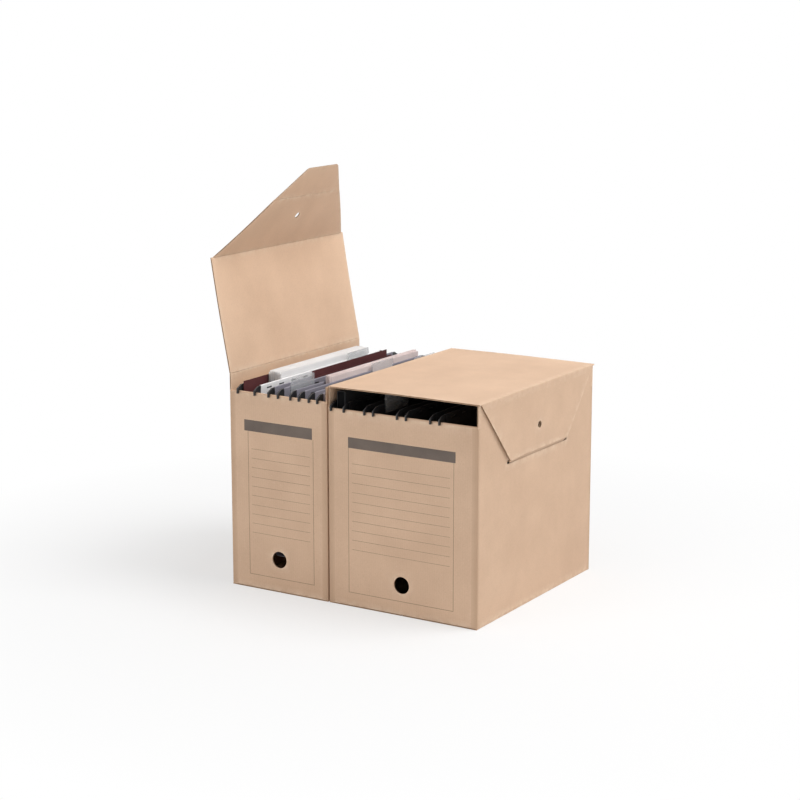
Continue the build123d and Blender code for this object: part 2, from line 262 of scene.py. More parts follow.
def clearFinish(name, look):
    finish, tree, shader, place = startFinish(name, look)
    shader.inputs["Base Color"].default_value = look["tint"]
    shader.inputs["Alpha"].default_value = look["alpha"]
    rub = noiseOf(tree, place, look["rubSize"])
    tree.links.new(rangeOf(tree, rub, *look["rubRange"]), shader.inputs["Roughness"])
    return finish


kraft = kraftFinish("kraftLiner", kraftLook)
innerKraft = kraftFinish("kraftInnerLiner", innerLook)
core = grainFinish("flutedCore", grainLooks["core"])
steel = grainFinish("darkRailSteel", grainLooks["steel"])
coat = grainFinish("blackHookCoat", grainLooks["coat"])
clear = clearFinish("clearTab", clearLook)
cards = {key: cardFinish(key + "Card", look) for key, look in cardLooks.items()}

slotFinishes = {
    "kraft_board": kraft, "maroon_card": cards["maroon"], "grey_card": cards["grey"],
    "black_card": cards["black"], "white_card": cards["white"], "white_paper": cards["white"],
    "pale_paper": cards["pale"], "rail_steel": steel, "tab_plastic": clear,
}
nodeSlots = {}
for name, node in frame["nodes"].items():
    for entry in node.material_slots:
        nodeSlots[name] = entry.material.name.split(".")[0]
        entry.material = slotFinishes.get(nodeSlots[name], kraft)
print("finishes:", len(bpy.data.materials))


# Mesh building

def asPlaced(u, v, w):
    return Vector((u, v, w))


def startBuild(place=asPlaced, fluteAxis=0):
    build = {"verts": [], "faces": [], "finishes": [], "spots": [], "wear": []}

    def point(u, v, w, wear=0.0):
        build["verts"].append(place(u, v, w))
        build["spots"] += (v, u, w) if fluteAxis else (u, v, w)
        build["wear"].append(wear)
        return len(build["verts"]) - 1

    build["point"] = point
    return build


def addFace(build, corners, finish=0):
    build["faces"].append(tuple(corners))
    build["finishes"].append(finish)


def addRing(build, first, second, finish=0):
    # quads between two closed rings of points
    for k in range(len(first)):
        after = (k + 1) % len(first)
        addFace(build, (first[k], first[after], second[after], second[k]), finish)


def addTube(build, rings, finish=0):
    for first, second in zip(rings, rings[1:]):
        addRing(build, first, second, finish)
    addFace(build, reversed(rings[0]), finish)
    addFace(build, rings[-1], finish)


def addSlab(build, columns, rows, sides, pointAt):
    # a closed film or sheet: two skins of quads and the rim that joins them
    rims = []
    for side in sides:
        skin = [[build["point"](*pointAt(i / columns, j / rows, side)) for j in range(rows + 1)]
                for i in range(columns + 1)]
        for i in range(columns):
            for j in range(rows):
                addFace(build, (skin[i][j], skin[i + 1][j], skin[i + 1][j + 1], skin[i][j + 1]))
        rims.append([skin[i][0] for i in range(columns)] + [skin[columns][j] for j in range(rows)]
                    + [skin[i][rows] for i in range(columns, 0, -1)]
                    + [skin[0][j] for j in range(rows, 0, -1)])
    addRing(build, *rims)


def finishBuild(build, name, finishes, body, smoothAngle=40):
    mesh = bpy.data.meshes.new(name)
    mesh.from_pydata(build["verts"], [], build["faces"])
    for finish in finishes:
        mesh.materials.append(finish)
    mesh.polygons.foreach_set("material_index", build["finishes"])
    mesh.attributes.new("boardPlace", "FLOAT_VECTOR", "POINT").data.foreach_set("vector", build["spots"])
    mesh.attributes.new("wearShare", "FLOAT", "POINT").data.foreach_set("value", build["wear"])
    mesh.validate()
    shell = bmesh.new()
    shell.from_mesh(mesh)
    bmesh.ops.recalc_face_normals(shell, faces=shell.faces)
    shell.to_mesh(mesh)
    shell.free()
    mesh.polygons.foreach_set("use_smooth", [True] * len(mesh.polygons))
    mesh.set_sharp_from_angle(angle=math.radians(smoothAngle))
    piece = bpy.data.objects.new(name, mesh)
    bpy.context.scene.collection.objects.link(piece)
    if body:
        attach(piece, body)
    return piece


def mitreOf(lead, ahead):
    # how far a corner moves for an inset of one, to the left of the walk
    normals = [Vector((-way.y, way.x)) for way in (lead, ahead)]
    return (normals[0] + normals[1]) / (1 + normals[0].dot(normals[1]))


def direction(start, end):
    return (Vector(end) - Vector(start)).normalized()


def evenly(start, end, steps):
    return [start + (end - start) * k / steps for k in range(steps + 1)]


# Corrugated boards

boardLook = {
    "liner": 0.32 * mm, "medium": 0.24 * mm, "recess": 1.1 * mm, "bevel": 0.14 * mm, "buttRecess": 0.035 * mm,
    "foldTurns": (90, 62, 36, 12, -12, -36, -62, -90),
    "step": 9 * mm, "gridClear": 0.75, "weld": 1e-7, "innerGap": 0.6 * mm,
    "innerRows": (1.8 * mm, 4.5 * mm), "holeRows": (1.2 * mm, 2.8 * mm, 5 * mm),
    "fluteSteps": 8, "ribbonStep": 12 * mm, "wearReach": 7 * mm,
    "ripple": 0.05 * mm, "rippleWaves": ((47, 19, 0), (-13, 53, 1.7)),
}


def edgeProfile(kind, thickness):
    # eight points (inset, height) from the outer face round the edge to the inner face
    half = thickness / 2
    if kind == "fold":
        turns = [math.radians(a) for a in boardLook["foldTurns"]]
        return [(half * (1 - math.cos(a)), half * math.sin(a)) for a in turns]
    bevel, liner = boardLook["bevel"], boardLook["liner"]
    depth = boardLook["recess"] if kind == "cut" else boardLook["buttRecess"]
    upper = [(bevel, half), (0, half - bevel), (0, half - liner), (depth, half - liner)]
    return upper + [(inset, -height) for inset, height in reversed(upper)]


def sampleLoop(corners, kinds):
    # walks a closed outline with the board on its left hand
    samples = []
    count = len(corners)
    for i in range(count):
        before, here, after = (Vector(corners[k % count]) for k in (i - 1, i, i + 1))
        run = after - here
        ahead = run.normalized()
        inward = Vector((-ahead.y, ahead.x))
        kind = kinds[i] if kinds[i] == kinds[i - 1] else "butt"
        samples.append({"at": here, "inward": mitreOf(direction(before, here), ahead), "kind": kind})
        parts = max(1, round(run.length / boardLook["step"]))
        for k in range(1, parts):
            samples.append({"at": here + run * (k / parts), "inward": inward, "kind": kinds[i]})
    return samples


def isInside(point, corners):
    inside = False
    for k, b in enumerate(corners):
        a = corners[k - 1]
        if (a[1] > point[1]) != (b[1] > point[1]):
            cross = a[0] + (point[1] - a[1]) / (b[1] - a[1]) * (b[0] - a[0])
            inside ^= point[0] < cross
    return inside


def circlePoints(u, v, radius, count):
    turns = [-2 * math.pi * k / count for k in range(count)]
    return [(u + radius * math.cos(a), v + radius * math.sin(a)) for a in turns]


def insetRows(samples, rows):
    return [s["at"] + s["inward"] * row for s in samples for row in rows]


def fillFaces(loops, thickness):
    # triangles over the board's face, fine near its edges so that wear can fade in
    look = boardLook
    rims = []
    for loop in loops:
        rims.append([s["at"] + s["inward"] * edgeProfile(s["kind"], thickness)[0][0] for s in loop])
    points = [p for rim in rims for p in rim]
    edges, near = [], kdtree.KDTree(len(points))
    for rim in rims:
        base = len(edges)
        edges += [(base + k, base + (k + 1) % len(rim)) for k in range(len(rim))]
    for k, p in enumerate(points):
        near.insert((*p, 0), k)
    near.balance()

    def onBoard(p):
        return isInside(p, rims[0]) and not any(isInside(p, rim) for rim in rims[1:])

    inner = insetRows(loops[0], look["innerRows"])
    for loop in loops[1:]:
        inner += insetRows(loop[::2], look["holeRows"])
    inner = [p for p in inner if near.find((*p, 0))[2] > look["innerGap"]]
    step = look["step"]
    lows = [min(p[k] for p in rims[0]) for k in (0, 1)]
    highs = [max(p[k] for p in rims[0]) for k in (0, 1)]
    for i in range(1, int((highs[0] - lows[0]) / step) + 1):
        for j in range(1, int((highs[1] - lows[1]) / step) + 1):
            place = Vector((lows[0] + i * step, lows[1] + j * step))
            if near.find((*place, 0))[2] > step * look["gridClear"]:
                inner.append(place)
    found = delaunay_2d_cdt(points + [p for p in inner if onBoard(p)], edges, [], 0, look["weld"])
    kept = [f for f in found[2] if onBoard(sum((found[0][k] for k in f), Vector((0, 0))) / len(f))]
    order = {source: k for k, sources in enumerate(found[3]) for source in sources}
    return found[0], kept, order, near


def flutedRibbon(build, start, end, inward, thickness, fluteAxis):
    # the wavy paper that shows between the two liners of a cut edge
    look = boardLook
    run = end - start
    pitch = kraftLook["fluteStep"]
    waves = abs(run[fluteAxis]) / pitch
    count = max(2, int(waves * look["fluteSteps"]), int(run.length / look["ribbonStep"]))
    half = look["medium"] / 2
    swing = thickness / 2 - look["liner"] - half
    section = ((look["bevel"], half), (look["recess"], half), (look["recess"], -half), (look["bevel"], -half))
    rings = []
    for k in range(count + 1):
        at = start + run * (k / count)
        wave = swing * math.sin(2 * math.pi * at[fluteAxis] / pitch)
        spots = [(at + inward * inset, wave + height) for inset, height in section]
        rings.append([build["point"](spot.x, spot.y, height) for spot, height in spots])
    addTube(build, rings, 1)


def boardPlacer(board):
    normal = board["along"].cross(board["across"])

    def place(u, v, w):
        wave = boardLook["ripple"] * sum(math.sin(u * a + v * b + c) for a, b, c in boardLook["rippleWaves"])
        rise = w + board["bow"](u, v) + wave * board["slack"]
        return board["origin"] + board["along"] * u + board["across"] * v + normal * rise

    return place


placers = {}


def boardPiece(node, body, board):
    thickness = board["thickness"]
    holes = board.get("holes", [])
    loops = [sampleLoop(board["outline"], board["kinds"])]
    loops += [sampleLoop(hole["points"], ["cut"] * len(hole["points"])) for hole in holes]
    slopes = [0] + [hole.get("slope", 0) for hole in holes]
    starts = [sum(len(loop) for loop in loops[:k]) for k in range(len(loops))]
    points, triangles, order, near = fillFaces(loops, thickness)
    fluteAxis = board.get("fluteAxis", 0)
    placers[node] = boardPlacer(board)
    build = startBuild(placers[node], fluteAxis)
    slant = {}
    for loop, slope, start in zip(loops, slopes, starts):
        slant.update({order[start + k]: slope for k in range(len(loop))})
    sides = {}
    for side, finish in ((1, 0), (-1, 2)):
        height = side * thickness / 2
        sides[side] = []
        for k, at in enumerate(points):
            wear = max(0.0, 1 - near.find((*at, 0))[2] / boardLook["wearReach"])
            sides[side].append(build["point"](at.x, at.y + slant.get(k, 0) * height, height, wear))
        for face in triangles:
            addFace(build, (sides[side][k] for k in face), finish)
    for loop, slope, start in zip(loops, slopes, starts):
        rings = []
        for k, sample in enumerate(loop):
            ring = [sides[1][order[start + k]]]
            for inset, height in edgeProfile(sample["kind"], thickness)[1:-1]:
                spot = sample["at"] + sample["inward"] * inset
                ring.append(build["point"](spot.x, spot.y + slope * height, height, 1.0))
            rings.append(ring + [sides[-1][order[start + k]]])
        for k, ring in enumerate(rings):
            after = rings[(k + 1) % len(rings)]
            isCut = "cut" in (loop[k]["kind"], loop[(k + 1) % len(loop)]["kind"])
            for row in range(len(ring) - 1):
                # the three middle rows of a cut edge lie between the liners
                finish = 1 if isCut and 2 <= row <= 4 else 0
                addFace(build, (ring[row], ring[row + 1], after[row + 1], after[row]), finish)
    corners = [Vector(c) for c in board["outline"]]
    for k, kind in enumerate(board["kinds"]):
        if kind == "cut":
            start, end = corners[k], corners[(k + 1) % len(corners)]
            run = direction(start, end)
            margin = run * boardLook["recess"]
            inward = Vector((-run.y, run.x))
            flutedRibbon(build, start + margin, end - margin, inward, thickness, fluteAxis)
    piece = finishBuild(build, node + "_board", [kraft, core, innerKraft], body)
    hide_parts(node)


def rectangle(u0, v0, u1, v1):
    return [(u0, v0), (u1, v0), (u1, v1), (u0, v1)]


def dome(amount, lengthU, lengthV):
    return lambda u, v: amount * math.sin(math.pi * u / lengthU) * math.sin(math.pi * v / lengthV)


def flat(u, v):
    return 0.0


panelLook = {
    "frontBow": 0.9 * mm, "rearBow": 0.7 * mm, "fingerRadius": 12 * mm, "fingerSteps": 40,
    "fingerHeights": {"narrow": 48 * mm, "wide": 43.5 * mm},
}


def panelBoard(prefix, end):
    node = f"{prefix}_{end}_panel"
    low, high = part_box(node)
    size = high - low
    isFront = end == "front"
    board = {
        "origin": Vector((low.x if isFront else high.x, (low.y + high.y) / 2, low.z)),
        "along": xAxis if isFront else -xAxis, "across": zAxis, "thickness": size.y, "slack": 1.0,
        "outline": rectangle(0, 0, size.x, size.z), "kinds": ["butt"] * 4,
        "bow": dome(panelLook[end + "Bow"], size.x, size.z),
    }
    if isFront:
        height = panelLook["fingerHeights"][prefix] - low.z
        hole = circlePoints(size.x / 2, height, panelLook["fingerRadius"], panelLook["fingerSteps"])
        board["holes"] = [{"points": hole}]
    boardPiece(node, f"{prefix}_shell", board)


latchLook = {
    "narrow": {"hingeBow": 0.8 * mm, "latchBow": 0.0, "lean": 39.86, "slotHalf": 85.9 * mm},
    "wide": {"hingeBow": 0.0, "latchBow": 0.9 * mm, "lean": 29.98, "slotHalf": 87.0 * mm},
    "slotDrop": 94 * mm, "slotGap": 2.6 * mm, "bowTop": 200 * mm,
    "holeDrop": 56 * mm, "holeRadius": 5 * mm, "holeSteps": 24,
}


def lowBulge(amount, length):
    # the wall swells below the flap only, where nothing lies against it
    top = latchLook["bowTop"]

    def bow(u, v):
        rise = math.sin(math.pi * v / top) ** 2 if v < top else 0
        return amount * rise * math.sin(math.pi * u / length)

    return bow


def lockHole(u, v):
    return {"points": circlePoints(u, v, latchLook["holeRadius"], latchLook["holeSteps"])}


def wallBoard(prefix, side):
    node = f"{prefix}_{side}_wall"
    low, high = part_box(node)
    size = high - low
    look = latchLook[prefix]
    isHinge = side == "hinge"
    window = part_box(f"{prefix}_front_hem")[1].z - low.z
    # the hinge wall's rear edge is the blank's own cut end, glued over the flap behind it
    kinds = ["fold", "fold", "cut", "fold" if isHinge else "cut", "cut", "cut" if isHinge else "fold"]
    board = {
        "origin": Vector(((low.x + high.x) / 2, high.y if isHinge else low.y, low.z)),
        "along": -yAxis if isHinge else yAxis, "across": zAxis, "thickness": size.x, "slack": 0.4,
        "outline": [(0, 0), (size.y, 0), (size.y, window), (size.y, size.z), (0, size.z), (0, window)],
        "kinds": kinds,
        "bow": dome(look["hingeBow"], size.y, size.z) if isHinge else lowBulge(look["latchBow"], size.y),
    }
    if not isHinge:
        lean = math.radians(look["lean"])
        crease = joints[f"{prefix}_lid_hinge"]["pos_m"][2] - low.z
        reach = latchLook["slotGap"] / 2 / math.sin(lean)
        middle, drop = size.y / 2, crease - latchLook["slotDrop"]
        slot = rectangle(middle - look["slotHalf"], drop - reach, middle + look["slotHalf"], drop + reach)
        board["holes"] = [
            lockHole(middle, crease - latchLook["holeDrop"]),
            {"points": slot[::-1], "slope": 1 / math.tan(lean)},
        ]
    boardPiece(node, f"{prefix}_shell", board)


def baseBoard(prefix, flap):
    node = f"{prefix}_base_{flap}_flap"
    low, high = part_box(node)
    size = high - low
    kinds = {"left": ["fold", "cut", "cut", "cut"], "right": ["cut", "cut", "fold", "cut"]}
    boardPiece(node, f"{prefix}_shell", {
        "origin": Vector((low.x, low.y, (low.z + high.z) / 2)), "along": yAxis, "across": xAxis,
        "thickness": size.z, "slack": 0.0, "outline": rectangle(0, 0, size.y, size.x),
        "kinds": kinds.get(flap, ["cut"] * 4), "bow": flat, "fluteAxis": 0 if flap in kinds else 1,
    })


lidLook = {
    "start": 1.3 * mm, "board": 2.0 * mm, "lidBow": 1.2 * mm, "crown": 0.6, "flapReach": 143 * mm,
    "flapInset": 4 * mm, "tipLength": 75 * mm, "tongueBoard": 1.4 * mm, "tipRound": 9 * mm, "tipSteps": 6,
    "narrow": {"root": 91.096 * mm, "flapBow": -1.0 * mm, "cornerLift": 0.0},
    "wide": {"root": 89.810 * mm, "flapBow": 0.5 * mm, "cornerLift": 1.1 * mm},
}


hingeWallLow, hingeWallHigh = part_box("narrow_hinge_wall")
boxDepth = hingeWallHigh.y - hingeWallLow.y    # both boxes are equally deep
flapWays = {
    "narrow": direction(joints["narrow_flap_crease"]["pos_m"], joints["narrow_tongue_crease"]["pos_m"]),
    "wide": -zAxis,
}


def flapHalf(reach):
    # half the flap's width, which narrows from the crease towards the tongue's tip
    base = boxDepth / 2 - lidLook["flapInset"]
    return base - (base - lidLook["tipLength"] / 2) * reach / lidLook["flapReach"]


def lidBoard(prefix):
    hinge = joints[f"{prefix}_lid_hinge"]["pos_m"]
    crease = joints[f"{prefix}_flap_crease"]["pos_m"]
    span = (Vector(crease) - Vector(hinge)).length
    half, crown = boxDepth / 2, lidLook["crown"]

    def bow(u, v):
        across = crown + (1 - crown) * math.cos(math.pi * v / boxDepth)
        return lidLook["lidBow"] * math.sin(math.pi * u / span) * across

    boardPiece(f"{prefix}_lid", f"{prefix}_lid", {
        "origin": Vector(hinge), "along": direction(hinge, crease), "across": yAxis,
        "thickness": lidLook["board"], "slack": 1.0, "fluteAxis": 1, "bow": bow,
        "outline": rectangle(lidLook["start"], -half, span + lidLook["board"] / 2, half),
        "kinds": ["cut", "fold", "cut", "butt"],
    })


def flapBoard(prefix):
    look = lidLook[prefix]
    start, end = lidLook["start"], look["root"] + lidLook["board"] / 2

    def bow(u, v):
        # the two outer corners curl up a little
        curl = (u / end) ** 2 * (v / flapHalf(u)) ** 4
        return look["flapBow"] * math.sin(math.pi * u / end) + look["cornerLift"] * curl

    boardPiece(f"{prefix}_lid_flap", f"{prefix}_flap", {
        "origin": Vector(joints[f"{prefix}_flap_crease"]["pos_m"]), "along": flapWays[prefix],
        "across": yAxis, "thickness": lidLook["board"], "slack": 0.6, "fluteAxis": 1, "bow": bow,
        "outline": [(start, -flapHalf(start)), (end, -flapHalf(end)),
                    (end, flapHalf(end)), (start, flapHalf(start))],
        "kinds": ["cut", "fold", "cut", "butt"], "holes": [lockHole(latchLook["holeDrop"], 0)],
    })


def tongueBoard(prefix):
    start, end = lidLook[prefix]["root"] + lidLook["start"], lidLook["flapReach"]
    half, tip, radius = flapHalf(start), lidLook["tipLength"] / 2, lidLook["tipRound"]
    slant = math.atan2(half - tip, end - start)
    centre = (end - radius, tip - radius * math.tan(math.pi / 4 - slant / 2))
    steps, sweep = lidLook["tipSteps"], math.pi / 2 - slant
    turns = [sweep - sweep * k / steps for k in range(steps + 1)]
    tipArc = [(centre[0] + radius * math.cos(a), centre[1] + radius * math.sin(a)) for a in turns]
    outline = [(start, -half)] + [(u, -v) for u, v in tipArc] + tipArc[::-1] + [(start, half)]
    boardPiece(f"{prefix}_lid_tongue", f"{prefix}_tongue", {
        "origin": Vector(joints[f"{prefix}_flap_crease"]["pos_m"]), "along": flapWays[prefix],
        "across": yAxis, "thickness": lidLook["tongueBoard"], "slack": 0.6, "fluteAxis": 1, "bow": flat,
        "outline": outline, "kinds": ["cut"] * (len(outline) - 1) + ["butt"],
    })


for prefix in boxes:
    for end in ("front", "rear"):
        panelBoard(prefix, end)
    for side in ("hinge", "latch"):
        wallBoard(prefix, side)
    for flap in ("left", "right", "front", "rear"):
        baseBoard(prefix, flap)
    lidBoard(prefix)
flapBoard("narrow")
tongueBoard("narrow")
flapBoard("wide")


# Liner carried over each crease

creaseLook = {
    "run": 9 * mm, "runShares": (1, 0.6, 0.25), "proud": 0.16 * mm, "proudShares": (-0.2, 0.3, 0.8, 1),
    "sunk": 0.10 * mm, "bendReach": 3 * mm, "bendLeast": 0.05, "straightGap": 0.6 * mm, "edgeInset": 0.5 * mm,
    "rows": 36, "turns": 6, "wear": 0.35,
    # below zero these paint shade along the upright corners, darkest in the turn
    "wallWears": [0, 0, -0.3], "turnWear": -1, "panelWears": [-0.8, -0.5, 0],
}
linerRuns = [creaseLook["run"] * share for share in creaseLook["runShares"]]
# the liner dips into the board at the end of its run, so that no step shows there
linerProuds = [creaseLook["proud"] * share for share in creaseLook["proudShares"]]


def addLiner(build, skinAt, foldShades=None):
    # a strip of paper in even rows: its outer skin and the inner one behind it
    rings = []
    for share in evenly(0, 1, creaseLook["rows"]):
        outer, inner = (skinAt(share, drop) for drop in (0, creaseLook["proud"] + creaseLook["sunk"]))
        # corner liners get painted fold shade, the other liners plain wear
        across = foldShades or [creaseLook["wear"]] * len(outer)
        both = zip(outer + inner[::-1], across + across[::-1])
        rings.append([build["point"](*at, wear) for at, wear in both])
    addTube(build, rings)


def creaseStrip(name, axis, ways, sides):
    # each side gives its place function, its half width at a distance from the crease and its half thickness
    look = creaseLook
    normals = [Vector((-way.z, 0, way.x)) for way in ways]
    isRound = normals[0].cross(normals[1]).y > look["bendLeast"]
    steps = list(zip(linerRuns + [0.0 if isRound else look["straightGap"]], linerProuds))

    def skinAt(share, drop):
        skin = []
        for side, order in ((sides[0], steps), (sides[1], steps[::-1])):
            if skin and isRound:
                bend = Vector((axis.x, skin[-1].y, axis.z))
                for k in range(1, look["turns"]):
                    way = normals[0].slerp(normals[1], k / look["turns"])
                    skin.append(bend + way * (side["skin"] + look["proud"] - drop))
            for s, proud in order:
                half = side["half"](s) - look["edgeInset"]
                skin.append(side["place"](s, (2 * share - 1) * half, side["skin"] + proud - drop))
        return skin

    build = startBuild()
    addLiner(build, skinAt)
    build["spots"] = [c for at in build["verts"] for c in (at.y, at.z, at.x)]
    piece = finishBuild(build, name, [kraft], None)
    start, end = axis - ways[0] * look["bendReach"], axis + ways[1] * look["bendReach"]
    tuple(start)
    tuple(end)
    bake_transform(piece)


def boxCreases(prefix):
    hinge = Vector(joints[f"{prefix}_lid_hinge"]["pos_m"])
    crease = Vector(joints[f"{prefix}_flap_crease"]["pos_m"])
    lidWay, flapWay = direction(hinge, crease), flapWays[prefix]
    span = (crease - hinge).length
    skin = lidLook["board"] / 2
    low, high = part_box(f"{prefix}_hinge_wall")
    wall, lid, flap = (placers[f"{prefix}_{part}"] for part in ("hinge_wall", "lid", "lid_flap"))

    def sideOf(place, half, thin=skin):
        return {"place": place, "half": half, "skin": thin}

    creaseStrip(
        f"{prefix}_hinge_crease", hinge, (zAxis, lidWay),
        (sideOf(lambda s, y, w: wall(high.y - y, hinge.z - low.z - s, w), lambda s: boxDepth / 2),
         sideOf(lid, lambda s: boxDepth / 2)))
    creaseStrip(
        f"{prefix}_flap_crease_liner", crease, (lidWay, flapWay),
        (sideOf(lambda s, y, w: lid(span - s, y, w), lambda s: flapHalf(0)), sideOf(flap, flapHalf)))
    if prefix == "narrow":
        root = lidLook["narrow"]["root"]
        tongue = placers["narrow_lid_tongue"]
        creaseStrip(
            "narrow_tongue_crease_liner",
            Vector(joints["narrow_tongue_crease"]["pos_m"]), (flapWay, flapWay),
            (sideOf(lambda s, y, w: flap(root - s, y, w), lambda s: flapHalf(root - s)),
             sideOf(lambda s, y, w: tongue(root + s, y, w), lambda s: flapHalf(root + s),
                    lidLook["tongueBoard"] / 2)))


def cornerLiner(prefix, side, end):
    # the outer paper carried round an upright corner, from wall to panel, with a band of painted shade
    # darkest in the turn
    look = creaseLook
    wallNode, panelNode = f"{prefix}_{side}_wall", f"{prefix}_{end}_panel"
    wallLow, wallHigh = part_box(wallNode)
    panelLow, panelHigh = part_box(panelNode)
    wall, panel = placers[wallNode], placers[panelNode]
    radius = (wallHigh.x - wallLow.x) / 2
    depth, width = wallHigh.y - wallLow.y, panelHigh.x - panelLow.x
    middle = (wallLow.x + wallHigh.x) / 2
    edge = wallLow.y + radius if end == "front" else wallHigh.y - radius
    fromWallStart = (side == "hinge") == (end == "rear")
    fromPanelStart = (side == "hinge") == (end == "front")
    normals = (-xAxis if side == "hinge" else xAxis, -yAxis if end == "front" else yAxis)
    foldShades = look["wallWears"] + [look["turnWear"]] * (look["turns"] + 1) + look["panelWears"]
    bottom, top = panelLow.z + look["edgeInset"], panelHigh.z - look["edgeInset"]

    def skinAt(share, drop):
        z = bottom + (top - bottom) * share
        skin = []
        for s, proud in zip(linerRuns + [0], linerProuds):
            u = radius + s if fromWallStart else depth - radius - s
            skin.append(wall(u, z - wallLow.z, radius + proud - drop))
        for k in range(1, look["turns"] + 1):
            way = normals[0].slerp(normals[1], k / look["turns"])
            skin.append(Vector((middle, edge, z)) + way * (radius + look["proud"] - drop))
        for s, proud in reversed(list(zip(linerRuns, linerProuds))):
            u = s if fromPanelStart else width - s
            skin.append(panel(u, z - panelLow.z, radius + proud - drop))
        return skin

    build = startBuild()
    addLiner(build, skinAt, foldShades)
    piece = finishBuild(build, f"{prefix}_{side}_{end}_corner", [kraft], f"{prefix}_shell")


for prefix in boxes:
    boxCreases(prefix)
    for side, end in (("hinge", "front"), ("latch", "front"), ("latch", "rear")):
        cornerLiner(prefix, side, end)
print("creases:", sum(1 for o in bpy.data.objects if "_crease" in o.name))


# Print on the fronts: a plain bar, a frame and ruled lines to write on

printLook = {
    "thickness": 0.05 * mm, "step": 9 * mm, "frameLine": 0.9 * mm,
    "ruleLine": 0.6 * mm, "rulePitch": 13.5 * mm, "ruleInset": 6 * mm,
    "narrow": {
        "bar": (-177 * mm, 229 * mm, -62 * mm, 245 * mm), "frame": (-171 * mm, 20 * mm, -60 * mm, 229 * mm),
        "rules": (82 * mm, 216 * mm)},
    "wide": {
        "bar": (-2.6 * mm, 225.5 * mm, 167 * mm, 240.5 * mm),
        "frame": (-2.6 * mm, 20 * mm, 165 * mm, 225.5 * mm), "rules": (82 * mm, 212 * mm)},
}


def addMark(build, bounds, skin):
    # a closed film of ink that follows the panel's bow
    u0, v0, u1, v1 = bounds
    columns, rows = (max(1, round(length / printLook["step"])) for length in (u1 - u0, v1 - v0))
    sides = (skin + printLook["thickness"], skin - printLook["thickness"])
    addSlab(build, columns, rows, sides, lambda a, b, side: (u0 + (u1 - u0) * a, v0 + (v1 - v0) * b, side))


def printPiece(name, prefix, marks, finish):
    node = f"{prefix}_front_panel"
    low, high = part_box(node)
    build = startBuild(placers[node])
    for x0, z0, x1, z1 in marks:
        addMark(build, (x0 - low.x, z0 - low.z, x1 - low.x, z1 - low.z), (high.y - low.y) / 2)
    finishBuild(build, name, [finish], f"{prefix}_shell")


def frontPrint(prefix):
    look = printLook[prefix]
    printPiece(f"{prefix}_printed_bar", prefix, [look["bar"]], cards["ink"])
    x0, z0, x1, z1 = look["frame"]
    line, inset = printLook["frameLine"], printLook["ruleInset"]
    marks = [(x0, z0, x0 + line, z1), (x1 - line, z0, x1, z1), (x0 + line, z0, x1 - line, z0 + line)]
    height, top = look["rules"]
    while height <= top:
        marks.append((x0 + inset, height, x1 - inset, height + printLook["ruleLine"]))
        height += printLook["rulePitch"]
    printPiece(f"{prefix}_printed_frame", prefix, marks, cards["faintInk"])


for prefix in boxes:
    frontPrint(prefix)
print("print: bars, frames and rules on both fronts")


# Papers, folder, cover, wallet, pockets, hooks and index tabs

draw = random.Random(31)


def bodyOf(node):
    return node.rsplit("_", 1)[0]


def addSheet(build, lows, highs, thickness, shift, columns, rows):
    # one upright sheet, a closed slab in y and z that shift pushes along x
    def pointAt(a, b, side):
        return shift(a, b) + side, lows[0] + (highs[0] - lows[0]) * a, lows[1] + (highs[1] - lows[1]) * b

    addSlab(build, columns, rows, (-thickness / 2, thickness / 2), pointAt)


def endFilePiece(build, name, finish, body, slot, node=None, smoothAngle=40):
    piece = finishBuild(build, name, [finish], body, smoothAngle)
    if node:
        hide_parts(node)


paperLook = {
    "narrow_file_1_papers": {
        "sheets": 40, "card": "white", "slot": "white_paper", "fill": 0.84, "ragged": 5 * mm},
    "narrow_file_3_papers": {
        "sheets": 13, "card": "pale", "slot": "pale_paper", "fill": 0.8, "ragged": 4 * mm},
    "columns": 8, "rows": 6, "wave": 0.5, "fullTurn": 6.28, "turnAlong": 5, "turnUp": 3,
}


def paperStack(node):
    look, shared = paperLook[node], paperLook
    low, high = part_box(node)
    pitch, ragged = (high.x - low.x) / look["sheets"], look["ragged"]
    build = startBuild()
    swing = pitch * (1 - look["fill"]) * shared["wave"]
    for k in range(look["sheets"]):
        middle = low.x + pitch * (k + 0.5)
        turn = draw.uniform(0, shared["fullTurn"])
        lean = draw.uniform(-swing, swing) / 2
        slip = draw.uniform(0, ragged)
        lift = draw.uniform(0, ragged) ** 2 / ragged

        def shift(a, b):
            wave = math.sin(turn + shared["turnAlong"] * a + shared["turnUp"] * b)
            return middle + lean * b + swing / 2 * wave

        addSheet(build, (low.y + slip, low.z), (high.y - ragged + slip, high.z - lift), pitch * look["fill"],
                 shift, shared["columns"], shared["rows"])
    endFilePiece(build, node + "_sheets", cards[look["card"]], bodyOf(node), look["slot"], node)


folderLook = {
    "card": 0.6 * mm, "foot": 1.6 * mm, "shortBy": 7 * mm, "flare": 0.8, "rows": 10,
    "sheets": 9, "sheetBoard": 0.25 * mm, "sheetRows": 8, "sheetShare": 0.8, "sheetFoot": 0.2,
    "sheetTop": 15 * mm, "sheetFront": 4 * mm, "sheetRear": 8 * mm, "sheetLift": 2 * mm, "sheetSlip": 4 * mm,
}


